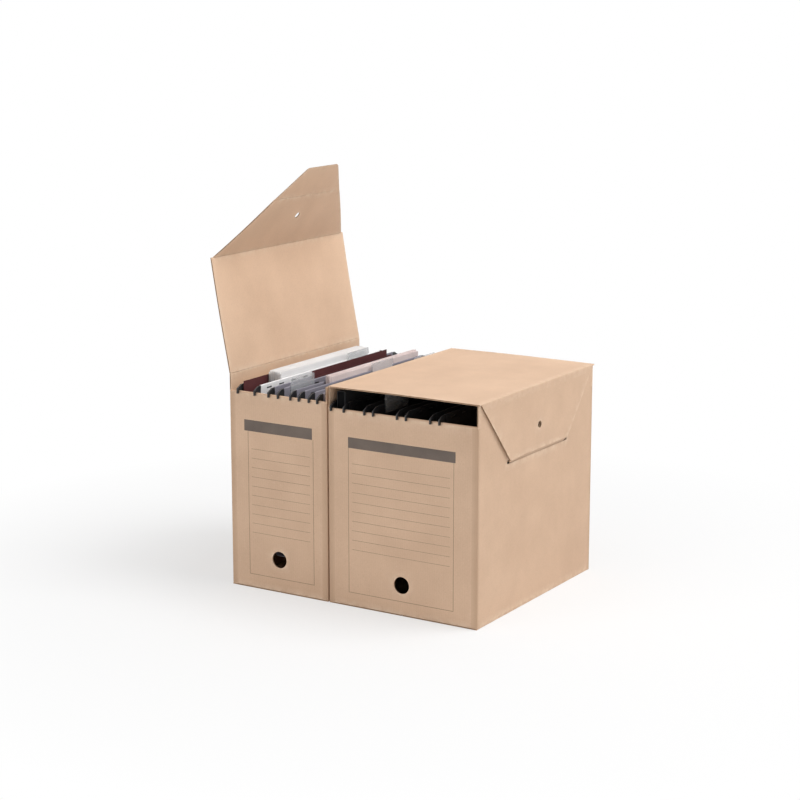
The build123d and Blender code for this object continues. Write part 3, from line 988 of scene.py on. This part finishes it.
def folderPiece(node):
    # two covers that meet at the foot, the nearer one lower, with a few sheets between them
    look = folderLook
    low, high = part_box(node)
    centre = (low.x + high.x) / 2
    reach, foot = (high.x - low.x - look["card"]) / 2, look["foot"] / 2
    rows, sheetRows = look["rows"], look["sheetRows"]
    build = startBuild()
    for side, top in ((-1, high.z), (1, high.z - look["shortBy"])):
        addSheet(build, (low.y, low.z), (high.y, top), look["card"],
                 lambda a, b: centre + side * (foot + (reach - foot) * b ** look["flare"]), rows, rows)
    addSheet(build, (low.y, low.z), (high.y, low.z + look["card"]), look["foot"],
             lambda a, b: centre, rows, 1)
    endFilePiece(build, node + "_covers", cards["maroon"], bodyOf(node), "maroon_card", node)
    build = startBuild()
    sheetFoot, sheetReach = look["foot"] * look["sheetFoot"], (reach - look["card"]) * look["sheetShare"]
    for k in range(look["sheets"]):
        place = (k + 0.5) / look["sheets"] * 2 - 1
        slip = draw.uniform(0, look["sheetSlip"])
        addSheet(build, (low.y + look["sheetFront"] + slip, low.z + look["sheetLift"]),
                 (high.y - look["sheetRear"] + slip, high.z - look["sheetTop"] - slip), look["sheetBoard"],
                 lambda a, b: centre + place * (sheetFoot + sheetReach * b ** look["flare"]),
                 sheetRows, sheetRows)
    endFilePiece(build, node + "_sheets", cards["white"], bodyOf(node), "white_paper")


coverLook = {"bow": 0.2 * mm, "columns": 16, "rows": 12, "turnAlong": 5, "turnStart": 1}


def coverPiece(node):
    look = coverLook
    low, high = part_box(node)
    middle, thickness = (low.x + high.x) / 2, high.x - low.x
    build = startBuild()
    addSheet(build, (low.y, low.z), (high.y, high.z), thickness - look["bow"],
             lambda a, b: middle + look["bow"] / 2 * math.sin(look["turnAlong"] * a + look["turnStart"]) * b,
             look["columns"], look["rows"])
    endFilePiece(build, node + "_card", cards["maroon"], bodyOf(node), "maroon_card", node)


def addBand(build, path, thickness, stations, place, gaps=()):
    # a strip of card whose edge follows path, carried through the stations;
    # gaps names its openings by segment of the path and station
    points = [Vector(p) for p in path]
    ways = [direction(start, end) for start, end in zip(points, points[1:])]
    mitres = [mitreOf(lead, ahead) for lead, ahead in zip(ways[:1] + ways, ways + ways[-1:])]
    skins = [[at + mitre * side for at, mitre in zip(points, mitres)]
             for side in (thickness / 2, -thickness / 2)]
    loop = skins[0] + skins[1][::-1]
    rings = [[build["point"](*place(at.x, at.y, reach)) for at in loop] for reach in stations]
    for j, (first, second) in enumerate(zip(rings, rings[1:])):
        for k in range(len(loop)):
            after = (k + 1) % len(loop)
            if (min(k, len(loop) - 2 - k), j) not in gaps:
                addFace(build, (first[k], first[after], second[after], second[k]))
    for k, j in gaps:
        # the four cut sides of an opening, through the card
        back = len(loop) - 1 - k
        inner, outer = ([ring[i] for i in (k, k + 1, back - 1, back)] for ring in rings[j:j + 2])
        addFace(build, inner)
        addFace(build, outer)
        addFace(build, (inner[0], outer[0], outer[3], inner[3]))
        addFace(build, (inner[1], outer[1], outer[2], inner[2]))
    # the band's two ends, as quads along the card
    for ring in (rings[0], rings[-1]):
        for k in range(len(points) - 1):
            addFace(build, (ring[k], ring[k + 1], ring[-k - 2], ring[-k - 1]))


walletLook = {
    "card": 0.7 * mm, "coverInset": 1.12 * mm, "coverDrop": 1.4 * mm, "columns": 12, "rows": 10,
    "pleats": 4, "pleatDepth": 5 * mm, "pleatCard": 0.4 * mm, "pleatFoot": 2 * mm, "pleatDrop": 2.1 * mm,
    "flapDrop": 60 * mm, "flapRear": 20 * mm, "flapRound": 2.5 * mm, "flapSoft": 0.75 * mm,
    "flapInset": 1 * mm,
}


def walletPiece(node):
    # a closed document wallet: two covers, pleated ends and a flap over the top
    look = walletLook
    low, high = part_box(node)
    build = startBuild()
    card, folds = look["card"], 2 * look["pleats"]
    left, right = low.x + look["coverInset"], high.x - look["coverInset"]
    for x in (left, right):
        addSheet(build, (low.y, low.z), (high.y, high.z - look["coverDrop"]), card, lambda a, b: x,
                 look["columns"], look["rows"])
    heights = evenly(low.z + look["pleatFoot"], high.z - look["pleatDrop"], look["rows"])
    for end, inward in ((low.y, 1), (high.y, -1)):
        depths = [end + inward * (card if k % 2 else look["pleatDepth"]) for k in range(folds + 1)]
        pleats = list(zip(evenly(left + card, right - card, folds), depths))
        addBand(build, pleats, look["pleatCard"], heights, lambda a, b, reach: (a, b, reach))
    near, far, top = low.x + card / 2, high.x - card / 2, high.z - card / 2
    radius, soft = look["flapRound"], look["flapSoft"]
    over = [(near, top - look["flapRear"]), (near, top - radius), (near + soft, top - soft),
            (near + radius, top), (far - radius, top),
            (far - soft, top - soft), (far, top - radius), (far, top - look["flapDrop"])]
    lengths = evenly(low.y + look["flapInset"], high.y - look["flapInset"], look["columns"])
    addBand(build, over, card, lengths, lambda a, b, reach: (a, reach, b))
    endFilePiece(build, node + "_card", cards["black"], bodyOf(node), "black_card", node)


pocketLook = {
    "card": 0.6 * mm, "hemWidth": 2.1 * mm, "hemReach": 19.4 * mm, "hemRound": 0.8 * mm, "foldRound": 4 * mm,
    "arc": 4, "bow": 0.5 * mm, "bowRows": 7, "bowShare": 0.6, "bowTurn": 14,
    "scores": (21 * mm, 15 * mm, 9 * mm), "scoreDepth": 0.25 * mm, "scoreHalf": 0.6 * mm,
    "slots": 10, "slotLength": 12 * mm, "slotDrop": 4.6 * mm, "slotHeight": 2.4 * mm, "slotMargin": 14 * mm,
}


def roundedPath(corners, steps):
    # each corner is x, z and the radius of its quarter turn
    path = []
    for k, (x, z, radius) in enumerate(corners):
        at = Vector((x, z))
        if not radius:
            path.append(at)
            continue
        before = direction(corners[k - 1][:2], at)
        after = direction(at, corners[k + 1][:2])
        centre = at + (after - before) * radius
        for turn in evenly(0, math.pi / 2, steps):
            path.append(centre + (before * math.sin(turn) - after * math.cos(turn)) * radius)
    return path


def pocketPiece(node):
    # one folded card: hemmed round both rails, slotted for tabs, scored above its fold
    look = pocketLook
    low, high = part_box(node)
    half = look["card"] / 2
    top, floor = high.z - half, low.z + half
    left, right, middle = low.x + half, high.x - half, (low.x + high.x) / 2
    slotTop = top - look["slotDrop"]
    slotFoot = slotTop - look["slotHeight"]

    def hemAndWall(x, inward):
        hemX, turn, score = x + inward * look["hemWidth"], look["hemRound"], look["scoreHalf"]
        corners = [(hemX, top - look["hemReach"], 0), (hemX, top, turn), (x, top, turn)]
        highest = floor + look["scores"][0] + score
        corners += [(x, slotTop, 0)]
        corners += [(x, z, 0) for z in evenly(slotFoot, highest, look["bowRows"])[:-1]]
        for z in (floor + height for height in look["scores"]):
            corners += [(x, z + score, 0), (x + inward * look["scoreDepth"], z, 0), (x, z - score, 0)]
        return corners + [(x, floor, look["foldRound"])]

    path = roundedPath(hemAndWall(left, 1) + hemAndWall(right, -1)[::-1], look["arc"])
    step = (high.y - low.y - 2 * look["slotMargin"] - look["slotLength"]) / (look["slots"] - 1)
    stations = [low.y]
    for k in range(look["slots"]):
        start = low.y + look["slotMargin"] + step * k
        stations += [start, start + look["slotLength"]]
    stations.append(high.y)
    hemPoints = 1 + 2 * (look["arc"] + 1)
    slotSegments = (hemPoints, len(path) - 2 - hemPoints)
    gaps = [(segment, 1 + 2 * k) for segment in slotSegments for k in range(look["slots"])]
    phase, share = middle / look["slotLength"], look["bowShare"]

    def place(a, b, reach):
        rise = (b - floor) / (top - floor)
        swell = share + (1 - share) * math.sin(phase + look["bowTurn"] * reach)
        belly = look["bow"] * math.sin(math.pi * rise) * swell
        return (a + belly if a < middle else a - belly, reach, b)

    build = startBuild()
    addBand(build, path, look["card"], stations, place, gaps)
    slot = nodeSlots[node]
    endFilePiece(build, node + "_card", slotFinishes[slot], bodyOf(node), slot, node)


hookLook = {
    "seatDrop": 8 * mm, "rise": 3 * mm, "width": 3.6 * mm, "notch": 5.6 * mm, "railHalf": 0.6 * mm,
    "over": 0.1 * mm, "half": 1.05 * mm, "bevel": 0.3 * mm, "pocketGap": 0.5 * mm, "smooth": 30,
    "round": 0.9 * mm, "turnPoints": ((1, 0), (0.29, 0.29), (0, 1)),
}


def insetOutline(points, inset):
    # moves each side of a closed outline towards its left hand
    moved = []
    for k, at in enumerate(points):
        ahead = direction(at, points[(k + 1) % len(points)])
        moved.append(at + mitreOf(direction(points[k - 1], at), ahead) * inset)
    return moved


def hookCoats(node):
    # moulded coats over the hooked ends of both rails, clear of the hems and of the pocket
    look = hookLook
    low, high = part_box(node)
    body, over = bodyOf(node), look["over"]
    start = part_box(body + "_pocket")[1].y + look["pocketGap"]
    tip, top, foot, seat = high.y + over, high.z + over, low.z - over, high.z - look["seatDrop"] - over
    notchOut = high.y - look["width"] - over
    notchIn = high.y - look["width"] - look["notch"] + over
    lower, shoulder = Vector((tip, foot)), Vector((tip, seat + look["rise"] + 2 * over))
    neck = Vector((notchIn, top))
    outline = [Vector(p) for p in (
        (start, foot), (notchIn, foot), (notchIn, seat), (notchOut, seat), (notchOut, foot))]
    for corner, lead, ahead in ((lower, Vector((1, 0)), Vector((0, 1))),
                                (shoulder, Vector((0, 1)), direction(shoulder, neck))):
        # three points on the turn, about where a round of this radius has them
        outline += [corner + (ahead * after - lead * before) * look["round"]
                    for before, after in look["turnPoints"]]
    outline += [neck, Vector((start, top))]
    build = startBuild()
    half, bevel = look["half"], look["bevel"]
    section = ((-half, bevel), (bevel - half, 0), (half - bevel, 0), (half, bevel))
    for middle in (low.x + look["railHalf"], high.x - look["railHalf"]):
        for end in (-1, 1):
            rings = []
            for aside, inset in section:
                loop = insetOutline(outline, inset)
                rings.append([build["point"](middle + aside, end * p.x, p.y) for p in loop])
            addTube(build, rings)
    endFilePiece(build, body + "_hook_coats", coat, body, "rail_steel", None, look["smooth"])


tabLook = {
    "round": 2.2 * mm, "wall": 0.4 * mm, "arc": 5, "smooth": 30,
    "label": 0.25 * mm, "margin": 2.5 * mm, "foot": 4.5 * mm, "head": 1.5 * mm,
    "labelled": {"narrow_file_3_tab": ("pale", "pale_paper")},
}


def roundedOutline(y0, z0, y1, z1, radius, steps):
    points = []
    for y, z, start in ((y1 - radius, z1 - radius, 0), (y0 + radius, z1 - radius, 90),
                        (y0 + radius, z0 + radius, 180), (y1 - radius, z0 + radius, 270)):
        for turn in evenly(start, start + 90, steps):
            turn = math.radians(turn)
            points.append((y + radius * math.cos(turn), z + radius * math.sin(turn)))
    return points


def addPlate(build, outline, x0, x1):
    addTube(build, [[build["point"](x, y, z) for y, z in outline] for x in (x0, x1)])


def tabPieces(node):
    look = tabLook
    low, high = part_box(node)
    body, wall, arc = bodyOf(node), look["wall"], look["arc"]
    build = startBuild()
    outline = roundedOutline(low.y, low.z, high.y, high.z, look["round"], arc)
    for x0, x1 in ((low.x, low.x + wall), (high.x - wall, high.x)):
        addPlate(build, outline, x0, x1)
    top = roundedOutline(low.y, high.z - wall * 2, high.y, high.z, wall, arc)
    addPlate(build, top, low.x + wall, high.x - wall)
    endFilePiece(build, node + "_holder", clear, body, "tab_plastic", node, look["smooth"])
    if node not in look["labelled"]:
        return
    card, slot = look["labelled"][node]
    middle, margin, half = (low.x + high.x) / 2, look["margin"], look["label"] / 2
    build = startBuild()
    label = roundedOutline(low.y + margin, low.z + look["foot"], high.y - margin, high.z - look["head"],
                           look["label"], arc)
    addPlate(build, label, middle - half, middle + half)
    endFilePiece(build, node + "_label", cards[card], body, slot, None, look["smooth"])


for node in ("narrow_file_1_papers", "narrow_file_3_papers"):
    paperStack(node)
folderPiece("narrow_file_2_folder")
coverPiece("narrow_file_1_cover")
walletPiece("wide_file_1_wallet")
for prefix in boxes:
    for number in range(1, 5):
        pocketPiece(f"{prefix}_file_{number}_pocket")
        hookCoats(f"{prefix}_file_{number}_rails")
        tabPieces(f"{prefix}_file_{number}_tab")
print("files: papers, folder, cover, wallet, pockets, coated hooks and index tabs")


# Stage, light and camera

stageLook = {
    "floorSize": 12.0, "floorColour": (0.86, 0.86, 0.86, 1), "rough": 0.9, "specular": 0.0,
    "shadowShare": 0.45, "fade": (0.32, 0.85), "ambient": 0.40, "white": (1, 1, 1, 1),
}


def whiteForCamera(tree):
    # camera, mirror and glass rays see plain white, other rays see the light itself
    rays = addNode(tree, "ShaderNodeLightPath").outputs
    seen = mathOf(tree, "MAXIMUM", rays["Is Camera Ray"], rays["Is Glossy Ray"])
    return mathOf(tree, "MAXIMUM", seen, rays["Is Transmission Ray"])


def makeStage(look):
    bpy.ops.mesh.primitive_plane_add(size=look["floorSize"])
    floor = bpy.context.object
    floor.name = "studioFloor"
    paint, tree, shader, spot = startFinish("floorPaint", look)
    shader.inputs["Base Color"].default_value = look["floorColour"]
    glow = addNode(tree, "ShaderNodeEmission", {}, {"Strength": 1.0})
    # the plain white takes over away from the object, so no horizon shows
    distance = addNode(tree, "ShaderNodeVectorMath", {"operation": "LENGTH"}, {0: spot}).outputs["Value"]
    plain = rangeOf(tree, distance, *look["fade"], 1 - look["shadowShare"], 1.0)
    share = mathOf(tree, "MULTIPLY", whiteForCamera(tree), plain)
    mix = addNode(tree, "ShaderNodeMixShader", {}, {0: share, 1: shader.outputs[0], 2: glow.outputs[0]})
    tree.links.new(mix.outputs[0], tree.nodes["Material Output"].inputs[0])
    floor.data.materials.append(paint)
    world = bpy.data.worlds.new("studioWorld")
    world.use_nodes = True
    bpy.context.scene.world = world
    tree = world.node_tree
    strength = rangeOf(tree, whiteForCamera(tree), 0, 1, look["ambient"], 1.0)
    tree.links.new(strength, tree.nodes["Background"].inputs["Strength"])
    tree.nodes["Background"].inputs["Color"].default_value = look["white"]


lamps = {
    "keyLamp": {"at": (1.4, 0.5, 2.6), "size": 1.5, "watts": 51},
    "fillLamp": {"at": (-1.2, -2.6, 1.1), "size": 1.8, "watts": 21},
    "topLamp": {"at": (0.3, 0.1, 2.6), "size": 2.2, "watts": 9},
    "sideLamp": {"at": (3.0, 0.3, 1.5), "size": 1.5, "watts": 6},
}
lampAim = Vector((0, 0, 0.2))


def makeLamps():
    for name, look in lamps.items():
        light = bpy.data.lights.new(name, "AREA")
        light.size = look["size"]
        light.energy = look["watts"]
        lamp = bpy.data.objects.new(name, light)
        lamp.location = look["at"]
        lamp.rotation_euler = (lampAim - lamp.location).to_track_quat("-Z", "Y").to_euler()
        bpy.context.scene.collection.objects.link(lamp)


cameraPlace = {"at": (1.46912, -2.40854, 0.86233), "yaw": 31.77, "pitch": 12.01, "lens": 90.885, "sensor": 36}


def makeCamera(place):
    data = bpy.data.cameras.new("studioCamera")
    data.sensor_width = place["sensor"]
    data.lens = place["lens"]
    camera = bpy.data.objects.new("studioCamera", data)
    camera.location = place["at"]
    camera.rotation_euler = (math.radians(90 - place["pitch"]), 0, math.radians(place["yaw"]))
    bpy.context.scene.collection.objects.link(camera)
    bpy.context.scene.camera = camera


bpy.context.scene.view_settings.view_transform = "Standard"
makeStage(stageLook)
makeLamps()
makeCamera(cameraPlace)
print("stage: floor, world,", len(lamps), "lamps and camera")
